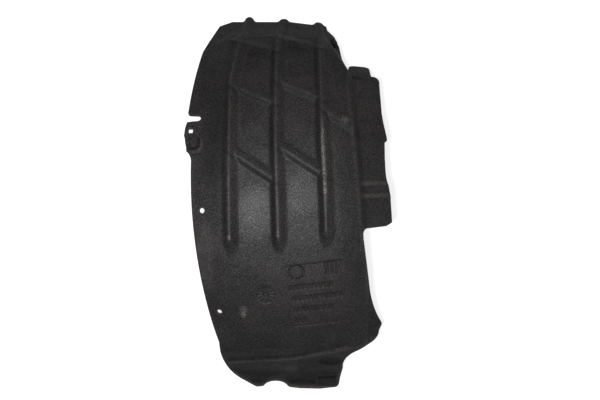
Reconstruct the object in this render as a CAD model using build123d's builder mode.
from build123d import *
import os
from math import asin, atan2, cos, degrees, radians, sin, sqrt, tan

# A wheel arch liner: one sheet of needled felt, pressed hot between two tools and die cut.
# It lies with the arch upwards. +X runs across the wheel, +Y along the arch to its top end, +Z out.
# Lengths are in millimetres and angles in degrees; y is counted from the crest of the arch.

# Sheet
wall = 3.5

# Arch, seen from the side
arch_radius = 385
crest_height = 155
crown_top_y = 257
crown_foot_y = -236
top_slope = 45
foot_slope = 46
foot_bend_radius = 5

# Crown edges, seen along the arch: a soft roll on each side, then a straight fall on the left
edge_ease = 3
edge_clearance = 2
left_roll_radius = 40
left_fall = 17
right_roll_radius = 85
right_fall = 45

# Brim that the crown stands on, and its panel on the right
brim_drop = 10
panel_bend_x = 55
panel_fall = 18

# Plan of the crown where it stands above the brim
crown_corner_left = (-106, 266)
crown_corner_left_lean = 37
crown_corner_left_radius = 45
crown_corner_right = (40, 258)
crown_corner_right_radius = 14
crown_shoulder = (74, 196)
crown_shoulder_radius = 50
ridge_lean = 4.6

# Three long ribs, from a round foot to past the wall at the top of the crown
rib_height = 9.5
rib_inner_crest = 2
rib_foot_radius = 9.5
rib_count = 3
rib_middle_foot_x = -30.5
rib_middle_top_x = -34.5
rib_foot_pitch = 66
rib_top_pitch = 63.1
rib_foot_angle = -9.6
rib_foot_step = 0.6
rib_top_angle = 45

# Slanting beads between the ribs, and one from the last rib to the ridge of the crown
bead_height = 5.5
bead_inner_crest = 2
bead_foot_radius = 7
bead_rows = 3
bead_first_angle = 10
bead_pitch_angle = 14.7
bead_column_step = 1.2
bead_fall = 29
outer_bead_angle = 20
outer_bead_fall = 34

# Humps that carry the ribs on over the top end
hump_height = 8
hump_inner_crest = 4.5
hump_foot_radius = 5
hump_start_y = 255
hump_end_y = 335
hump_end_x = -20.5
hump_end_pitch = 52.5

# Low bead along the bend above the foot
bend_bead_height = 3.5
bend_bead_inner_crest = 2
bend_bead_foot_radius = 4
bend_bead_left = (-106, -255)
bend_bead_right = (52, -231)

# Two bars across the panel
bar_height = 3
bar_inner_crest = 1
bar_foot_radius = 4
bar_angles = (0.5, 3.9)

# Box-shaped pad beside the toe
pad_centre = (46, -297)
pad_size = (38, 22)
pad_corner = 6
pad_top_z = 13

# Die-cut outline, seen from above
left_kink = (-151, 230)
left_bulge = (-158.5, 175)
left_notch_y = 122.5
left_notch_x = -163
left_waist = (-155, 55)
left_sweep = (-147, -85)
heel = (-123.5, -217)
heel_end = (-124, -230)
heel_round = (-112, -275)
toe_left = (-72, -311)
toe_middle = (33.5, -314.5)
toe_right = (64, -310)
instep = (69, -275)
instep_round = (74, -251)
instep_end = (90, -238)
ear_foot = (106.5, -232.5)
ear_round = (119, -223)
ear_side = (124, -206)
ear_tip = (128, -193)
ear_neck = (112, -161)
ear_top = (103.5, -128)
side_top = (76, 190)
side_notch = (63.5, 228)
end_right = (55, 264)
end_right_hump = (45, 278)
end_right_x = 41
end_left_x = -112
end_left_y = 293
end_left_corner = (-134, 285)
end_back_x = -17
end_back_angle = 14

# Panel outline
panel_left_x = 60
panel_foot = (91.5, -41.5)
panel_foot_corner = (127, -38)
panel_foot_tip = (135.5, -32)
panel_step_y = 10
panel_step_x = 131.5
panel_waist = (125, 45)
hook_root = (125, 85.5)
hook_tip = (129.5, 88.5)
hook_end = (124, 117)
panel_top_x = 122.5
panel_top_y = 191
panel_corner = 8

# Clip tab on the left edge: a notch, a square hole and a pocket
notch_depth = 18
notch_width = 8
tab_reach = 11
tab_top_y = 113
tab_length = 48
tab_corner = 9
clip_hole = (-157.5, 99.5)
clip_hole_size = (6.7, 6)
pocket_centre = (-158, 84)
pocket_size = (24, 19)
pocket_corner = 5
pocket_depth = 4

# Screw holes in the left flange: x, and angle along the arch
screw_hole_radius = 4
screw_holes = ((-139, -2.3), (-119, -25.5))

# Scallop in the toe edge
scallop_x = -39
scallop_depth = 15
scallop_width = 40

# Flap folded down behind the panel
flap_left_x = 76
flap_width = 34
flap_length = 36
flap_corner = 9
flap_slope = 54

# How far the tools run past the sheet
tool_reach = 300
tool_floor = -150
root_depth = 6
root_run = 8
run_out = 10

axis_z = crest_height - arch_radius
arch_axis = Axis((0, 0, axis_z), (1, 0, 0))
axis_plane = Plane((0, 0, axis_z), x_dir=(1, 0, 0), z_dir=(0, -1, 0))


def crown_z(y):
    """Height of the crest line above the floor at y."""
    return axis_z + sqrt(arch_radius**2 - y**2)


def rib_foot(height, inner_crest, foot_radius):
    """Centre of a foot arc of a rib: how far to the side, and how far above the sheet."""
    foot_n = foot_radius * cos(radians(run_out))
    crest_radius = inner_crest + wall
    return sqrt((crest_radius + foot_radius) ** 2 - (foot_n - height + crest_radius) ** 2), foot_n


def rib_line(column):
    """Foot and top x of a rib, counted from the middle one."""
    foot_x = rib_middle_foot_x + column * rib_foot_pitch
    return foot_x, rib_middle_top_x + column * rib_top_pitch


rib_half_width = rib_foot(rib_height, rib_inner_crest, rib_foot_radius)[0]
left_roll_x = min(rib_line(-(rib_count // 2))) - rib_half_width - edge_clearance
right_roll_x = max(rib_line(rib_count // 2)) + rib_half_width + edge_clearance


def roll(distance, radius, fall):
    """Drop and slope of a crown edge, this far past the start of its roll."""
    roll_end = radius * (sin(radians(fall)) - sin(radians(edge_ease)))
    if distance <= 0:
        return 0, 0
    if distance < roll_end:
        slope = degrees(asin(sin(radians(edge_ease)) + distance / radius))
        return radius * (cos(radians(edge_ease)) - cos(radians(slope))), slope
    roll_drop = radius * (cos(radians(edge_ease)) - cos(radians(fall)))
    return roll_drop + (distance - roll_end) * tan(radians(fall)), fall


def arch_point(x, angle, drop=0):
    """Point at x, an angle along the arch from the crest, this far below the crown."""
    radius = arch_radius - drop
    return Vector(x, radius * sin(radians(angle)), axis_z + radius * cos(radians(angle)))


def crown_point(x, angle):
    """Point on the outside of the crown, its rolled edges included."""
    left_drop, left_slope = roll(left_roll_x - x, left_roll_radius, left_fall)
    right_drop, right_slope = roll(x - right_roll_x, right_roll_radius, right_fall)
    return arch_point(x, angle, left_drop + right_drop)


def crown_plane(x, angle):
    """Plane that touches the outside of the crown on its left flange."""
    drop, slope = roll(left_roll_x - x, left_roll_radius, left_fall)
    outward = Vector(0, sin(radians(angle)), cos(radians(angle)))
    normal = outward * cos(radians(slope)) + Vector(-sin(radians(slope)), 0, 0)
    along = Vector(cos(radians(slope)), 0, 0) + outward * sin(radians(slope))
    return Plane(arch_point(x, angle, drop), x_dir=along, z_dir=normal)


def panel_point(x, angle):
    """Point on the outside of the panel, which falls away to the right."""
    return arch_point(x, angle, brim_drop + (x - panel_bend_x) * tan(radians(panel_fall)))


def toe_y():
    """Where the straight foot meets the flat lip."""
    return crown_foot_y - (crown_z(crown_foot_y) - wall) / tan(radians(foot_slope))


def side_region(inset):
    """Everything under the arch as seen from the side, with its surface moved in by the inset."""
    top = (crown_top_y, crown_z(crown_top_y))
    foot = (crown_foot_y, crown_z(crown_foot_y))
    toe = (toe_y(), wall)
    top_end = (top[0] + tool_reach, top[1] - tool_reach * tan(radians(top_slope)))
    toe_end = toe[0] - tool_reach
    with BuildPart() as region:
        with BuildSketch(Plane.YZ):
            with BuildLine():
                ThreePointArc(foot, (0, crest_height), top)
                Polyline(top, top_end, (toe_end, top_end[1]), (toe_end, wall), toe, foot)
            make_face()
            fillet(vertices().sort_by_distance(toe)[0], foot_bend_radius)
            if inset:
                offset(amount=-inset, kind=Kind.INTERSECTION)
        extrude(amount=tool_reach, both=True)
    return region.part


def rib_section(plane, height, inner_crest, foot_radius, inset, whole=True):
    """Section of a rib: a crest arc and two foot arcs, with a root sunk below the sheet."""
    crest_radius = inner_crest + wall
    crest_n = height - crest_radius
    foot_u, foot_n = rib_foot(height, inner_crest, foot_radius)
    flank = degrees(atan2(foot_n - crest_n, foot_u))
    with BuildSketch(plane) as section:
        with BuildLine():
            CenterArc((0, crest_n), crest_radius - inset, flank, 90 - flank)
            foot = CenterArc((foot_u, foot_n), foot_radius + inset, 180 + flank, 90 - flank - run_out)
            toe = foot @ 1
            root_u = toe.X + root_run * cos(radians(run_out))
            root_n = toe.Y - root_run * sin(radians(run_out))
            floor_n = root_n - root_depth
            Polyline(toe, (root_u, root_n), (root_u, floor_n), (0, floor_n), (0, height - inset))
        make_face()
        if whole:
            mirror(about=Plane.YZ)
    return section.sketch


def rib_end(point, normal, inward, size, inset):
    """Round end of a rib: half of its section turned half way about the sheet's normal."""
    plane = Plane(point, x_dir=normal.cross(inward), z_dir=inward)
    half = rib_section(plane, *size, inset, whole=False)
    with BuildPart() as end:
        revolve(half, axis=Axis(point, normal), revolution_arc=180)
    return end.part


def arched_rib(start, middle, end, size, inset, round_start=False):
    """Rib swept along the arc through three points of the sheet."""
    arc = ThreePointArc(start, middle, end)
    centre = arc.arc_center
    turn = (start - centre).cross(end - centre).normalized()
    normal = (start - centre).normalized()
    section = rib_section(Plane(start, x_dir=normal.cross(arc % 0), z_dir=arc % 0), *size, inset)
    with BuildPart() as rib:
        revolve(section, axis=Axis(centre, turn), revolution_arc=degrees(arc.length / arc.radius))
    if not round_start:
        return [rib.part]
    return [rib.part, rib_end(start, normal, arc % 0, size, inset)]


def straight_rib(start, end, normal, size, inset):
    """Rib along a straight run of the sheet."""
    along = (end - start).normalized()
    section = rib_section(Plane(start, x_dir=normal.cross(along), z_dir=along), *size, inset)
    with BuildPart() as rib:
        extrude(section, amount=(end - start).length)
    return rib.part


def long_ribs(inset):
    """The three ribs along the crown, each with a round foot."""
    size = (rib_height, rib_inner_crest, rib_foot_radius)
    parts = []
    for column in range(rib_count):
        foot_x, top_x = rib_line(column - rib_count // 2)
        foot_angle = rib_foot_angle + column * rib_foot_step
        middle = crown_point((foot_x + top_x) / 2, (foot_angle + rib_top_angle) / 2)
        ends = crown_point(foot_x, foot_angle), crown_point(top_x, rib_top_angle)
        parts += arched_rib(ends[0], middle, ends[1], size, inset, round_start=True)
    return parts


def slanting_bead(start_x, end_x, angle, fall, size, inset):
    """Bead that runs down to the right over the crown."""
    end_angle = angle - degrees((end_x - start_x) * tan(radians(fall)) / arch_radius)
    middle = crown_point((start_x + end_x) / 2, (angle + end_angle) / 2)
    return arched_rib(crown_point(start_x, angle), middle, crown_point(end_x, end_angle), size, inset)


def slanting_beads(inset):
    """Rows of beads between the ribs, and the bead out to the ridge."""
    size = (bead_height, bead_inner_crest, bead_foot_radius)
    parts = []
    for column in range(rib_count - 1):
        left_x = sum(rib_line(column - rib_count // 2)) / 2
        right_x = sum(rib_line(column + 1 - rib_count // 2)) / 2
        for row in range(bead_rows):
            angle = bead_first_angle + row * bead_pitch_angle + column * bead_column_step
            parts += slanting_bead(left_x, right_x, angle, bead_fall, size, inset)
    ridge_x = crown_shoulder[0] + crown_shoulder[1] * tan(radians(ridge_lean))
    last_x = sum(rib_line(rib_count // 2)) / 2
    parts += slanting_bead(last_x, ridge_x, outer_bead_angle, outer_bead_fall, size, inset)
    return parts


def bend_bead(inset):
    """Low bead along the bend above the foot, with round ends."""
    size = (bend_bead_height, bend_bead_inner_crest, bend_bead_foot_radius)
    fall = tan(radians(foot_slope))
    bend_z = crown_z(crown_foot_y)
    left = Vector(*bend_bead_left, bend_z - (crown_foot_y - bend_bead_left[1]) * fall)
    right = Vector(*bend_bead_right, crown_z(bend_bead_right[1]))
    along = (right - left).normalized()
    lean = radians((foot_slope + degrees(asin(-crown_foot_y / arch_radius))) / 2)
    outward = Vector(0, -sin(lean), cos(lean))
    normal = (outward - along * outward.dot(along)).normalized()
    bar = straight_rib(left, right, normal, size, inset)
    return [bar, rib_end(left, normal, along, size, inset), rib_end(right, normal, along * -1, size, inset)]


def top_end_point(x, y, drop):
    """Point on the straight top end, this far below the line of the crown."""
    slope = radians(top_slope)
    return Vector(x, y, crown_z(crown_top_y) - (y - crown_top_y) * tan(slope) - drop / cos(slope))


def humps(inset):
    """Short ribs over the top end, which start in line with the long ones under the crown."""
    size = (hump_height, hump_inner_crest, hump_foot_radius)
    normal = Vector(0, sin(radians(top_slope)), cos(radians(top_slope)))
    parts = []
    for column in range(rib_count):
        side = column - rib_count // 2
        start = top_end_point(rib_line(side)[1], hump_start_y, brim_drop)
        end = top_end_point(hump_end_x + side * hump_end_pitch, hump_end_y, brim_drop)
        parts.append(straight_rib(start, end, normal, size, inset))
    return parts


def panel_bars(inset):
    """Two bars across the panel."""
    size = (bar_height, bar_inner_crest, bar_foot_radius)
    parts = []
    for angle in bar_angles:
        start, end = panel_point(panel_bend_x, angle), panel_point(panel_bend_x + tool_reach / 3, angle)
        along = (end - start).normalized()
        outward = arch_point(0, angle) - Vector(0, 0, axis_z)
        normal = (outward - along * outward.dot(along)).normalized()
        parts.append(straight_rib(start, end, normal, size, inset))
    return parts


def crown_edges(inset):
    """Turned solid whose two sides roll down past the edges of the crown."""
    rise = arch_radius + left_roll_radius
    with BuildPart() as edges:
        with BuildSketch(axis_plane):
            with BuildLine():
                for side, x, radius, fall in (
                    (-1, left_roll_x, left_roll_radius, left_fall),
                    (1, right_roll_x, right_roll_radius, right_fall),
                ):
                    centre = (x - side * radius * sin(radians(edge_ease)),
                              arch_radius - radius * cos(radians(edge_ease)))
                    start = 90 - side * edge_ease
                    arc = CenterArc(centre, radius, start, -side * (fall - edge_ease))
                    end = arc @ 1
                    run = tool_reach - abs(end.X)
                    low = (side * tool_reach, end.Y - run * tan(radians(fall)))
                    high = (x - side * root_depth, arch_radius + root_depth * tan(radians(edge_ease)))
                    Polyline((0, 1), (side * tool_reach, 1), low, end)
                    Polyline(arc @ 0, high, (high[0], rise), (0, rise))
            make_face()
            if inset:
                offset(amount=-inset, kind=Kind.INTERSECTION)
        revolve(axis=arch_axis)
    return edges.part


def crown_plan(inset):
    """Upright prism on the plan of the crown."""
    far = 2 * tool_reach
    left_y = crown_corner_left[1] - (far + crown_corner_left[0]) * tan(radians(crown_corner_left_lean))
    foot_x = crown_shoulder[0] + (crown_shoulder[1] + far) * tan(radians(ridge_lean))
    corners = (
        (crown_corner_left, crown_corner_left_radius),
        (crown_corner_right, crown_corner_right_radius),
        (crown_shoulder, crown_shoulder_radius),
    )
    with BuildPart() as plan:
        with BuildSketch(Plane.XY.offset(tool_floor)):
            with BuildLine():
                Polyline(
                    crown_corner_left, crown_corner_right, crown_shoulder,
                    (foot_x, -far), (-far, -far), (-far, left_y), close=True,
                )
            make_face()
            for corner, radius in corners:
                fillet(vertices().sort_by_distance(corner)[0], radius)
            if inset:
                offset(amount=-inset, kind=Kind.INTERSECTION)
        extrude(amount=2 * tool_reach)
    return plan.part


def brim(inset):
    """Lower level of the sheet: the crown's outline moved in, falling away under the panel."""
    with BuildPart() as level:
        add(side_region(inset + brim_drop))
        with BuildSketch(axis_plane):
            fall = tan(radians(panel_fall))
            bend_r = arch_radius - brim_drop
            far = tool_reach - panel_bend_x
            with BuildLine():
                Polyline(
                    (-tool_reach, 1), (tool_reach, 1), (tool_reach, bend_r - far * fall),
                    (panel_bend_x - far, bend_r + far * fall), (-tool_reach, bend_r + far * fall),
                    close=True,
                )
            make_face()
            if inset:
                offset(amount=-inset, kind=Kind.INTERSECTION)
        revolve(axis=arch_axis, mode=Mode.INTERSECT)
    return level.part


def press_tool(inset):
    """The form that the sheet is pressed over, with its surface moved in by the inset."""
    body = side_region(inset)
    edges = crown_edges(inset)
    plan = crown_plan(inset)
    crown_details = (long_ribs(inset), slanting_beads(inset), bend_bead(inset))
    brim_details = ([brim(inset)], humps(inset), panel_bars(inset))
    pocket_angle = degrees(asin(pocket_centre[1] / (arch_radius - brim_drop)))
    pocket_plane = Plane(
        arch_point(pocket_centre[0], pocket_angle, brim_drop + pocket_depth + inset),
        x_dir=(1, 0, 0),
        z_dir=(0, sin(radians(pocket_angle)), cos(radians(pocket_angle))),
    )
    with BuildPart() as tool:
        add(body)
        add(edges, mode=Mode.INTERSECT)
        for details in crown_details:
            add(details)
        add(plan, mode=Mode.INTERSECT)
        for details in brim_details:
            add(details)
        with BuildSketch(Plane.XY.offset(wall - inset)):
            with Locations((0, toe_y() + foot_bend_radius)):
                Rectangle(tool_reach, tool_reach, align=(Align.CENTER, Align.MAX))
        extrude(amount=tool_floor)
        with BuildSketch(Plane.XY.offset(pad_top_z - inset)):
            with Locations(pad_centre):
                RectangleRounded(*pad_size, pad_corner)
            if inset:
                offset(amount=-inset, kind=Kind.INTERSECTION)
        extrude(amount=tool_floor)
        with BuildSketch(pocket_plane):
            RectangleRounded(pocket_size[0] + 2 * inset, pocket_size[1] + 2 * inset, pocket_corner + inset)
        extrude(amount=tool_reach / 5, mode=Mode.SUBTRACT)
    return tool.part


def blank():
    """Die-cut outline of the sheet."""
    with BuildSketch(Plane.XY.offset(tool_floor)) as outline:
        with BuildLine():
            ThreePointArc(left_kink, left_bulge, (left_notch_x, left_notch_y))
            Line((left_notch_x, left_notch_y), left_waist)
            ThreePointArc(left_waist, left_sweep, heel)
            Line(heel, heel_end)
            ThreePointArc(heel_end, heel_round, toe_left)
            Polyline(toe_left, toe_middle, toe_right, instep)
            ThreePointArc(instep, instep_round, instep_end)
            Line(instep_end, ear_foot)
            ThreePointArc(ear_foot, ear_round, ear_side)
            Line(ear_side, ear_tip)
            ThreePointArc(ear_tip, ear_neck, ear_top)
            Polyline(ear_top, panel_foot, side_top)
            Polyline(
                side_top, side_notch, end_right, end_right_hump,
                (end_right_x, tool_reach + end_right_x), (end_left_x, tool_reach + end_right_x),
                (end_left_x, end_left_y), end_left_corner, left_kink,
            )
        make_face()
        with BuildLine():
            Polyline(
                (panel_left_x, panel_foot[1]), panel_foot, panel_foot_corner, panel_foot_tip,
                (panel_step_x, panel_step_y), panel_waist, hook_root, hook_tip, hook_end,
                (panel_top_x, panel_top_y), (panel_left_x, panel_top_y), close=True,
            )
        make_face()
        fillet(vertices().sort_by_distance((panel_top_x, panel_top_y))[0], panel_corner)
        with Locations((left_waist[0] - tab_reach, tab_top_y)):
            RectangleRounded(2 * tab_reach, tab_length, tab_corner, align=(Align.MIN, Align.MAX))
        with Locations((left_notch_x + notch_depth, left_notch_y)):
            Rectangle(2 * notch_depth, notch_width, align=(Align.MAX, Align.MAX), mode=Mode.SUBTRACT)
        with Locations((scallop_x, toe_middle[1])):
            Ellipse(scallop_width / 2, scallop_depth, mode=Mode.SUBTRACT)
    return outline.sketch


end_plane = Plane(
    top_end_point(0, crown_top_y, brim_drop + wall)
    + Vector(0, 1, -tan(radians(top_slope)))
    * (top_end_point(0, crown_top_y, brim_drop + wall).Z / tan(radians(top_slope))),
    x_dir=(1, 0, 0),
    z_dir=(0, cos(radians(top_slope)), -sin(radians(top_slope))),
)
end_right_plane = Plane(
    end_plane.origin + Vector(end_back_x, 0, 0),
    x_dir=(0, sin(radians(top_slope)), cos(radians(top_slope))),
    z_dir=end_plane.z_dir * cos(radians(end_back_angle)) + Vector(sin(radians(end_back_angle)), 0, 0),
)
clip_angle = degrees(asin(clip_hole[1] / (arch_radius - brim_drop)))
clip_plane = Plane(
    arch_point(clip_hole[0], clip_angle, brim_drop),
    x_dir=(1, 0, 0),
    z_dir=(0, sin(radians(clip_angle)), cos(radians(clip_angle))),
)
flap_x = flap_left_x + flap_width / 2
flap_radius = arch_radius - brim_drop - (flap_x - panel_bend_x) * tan(radians(panel_fall))
flap_angle = degrees(asin(panel_top_y / flap_radius))
flap_along = (panel_point(panel_top_x, flap_angle) - panel_point(flap_x, flap_angle)).normalized()
flap_down = Vector(0, cos(radians(flap_slope)), -sin(radians(flap_slope)))
flap_plane = Plane(panel_point(flap_x, flap_angle), x_dir=flap_along, z_dir=flap_along.cross(flap_down))

die = press_tool(0)
punch = press_tool(wall)
sheet_outline = blank()

with BuildPart() as sheet:
    add(die)
    add(punch, mode=Mode.SUBTRACT)
    split(bisect_by=end_plane, keep=Keep.BOTTOM)
    split(bisect_by=end_right_plane, keep=Keep.BOTTOM)
    extrude(sheet_outline, amount=2 * tool_reach, mode=Mode.INTERSECT)
    for x, angle in screw_holes:
        with Locations(crown_plane(x, angle)):
            Cylinder(screw_hole_radius, 4 * wall, mode=Mode.SUBTRACT)
    with Locations(clip_plane):
        Box(*clip_hole_size, 4 * wall, mode=Mode.SUBTRACT)
    with BuildSketch(flap_plane):
        Rectangle(flap_width, flap_length, align=(Align.CENTER, Align.MIN))
        fillet(vertices().group_by(Axis.Z)[0], flap_corner)
    extrude(amount=-wall)

box = sheet.part.bounding_box()
to_base = Vector(-box.center().X, -box.center().Y, -box.min.Z)
with BuildPart() as wheel_arch_liner:
    add(sheet.part.moved(Location(to_base)))
wheel_arch_liner.part.label = "wheel_arch_liner"

print("moved by", to_base, "size", box.size, "volume", wheel_arch_liner.part.volume)
for x, angle in screw_holes:
    hole = crown_plane(x, angle)
    print("screw hole, middle of the wall", hole.origin - hole.z_dir * (wall / 2) + to_base, hole.z_dir)

os.makedirs("parts", exist_ok=True)
export_step(wheel_arch_liner.part, "parts/wheel_arch_liner.step")
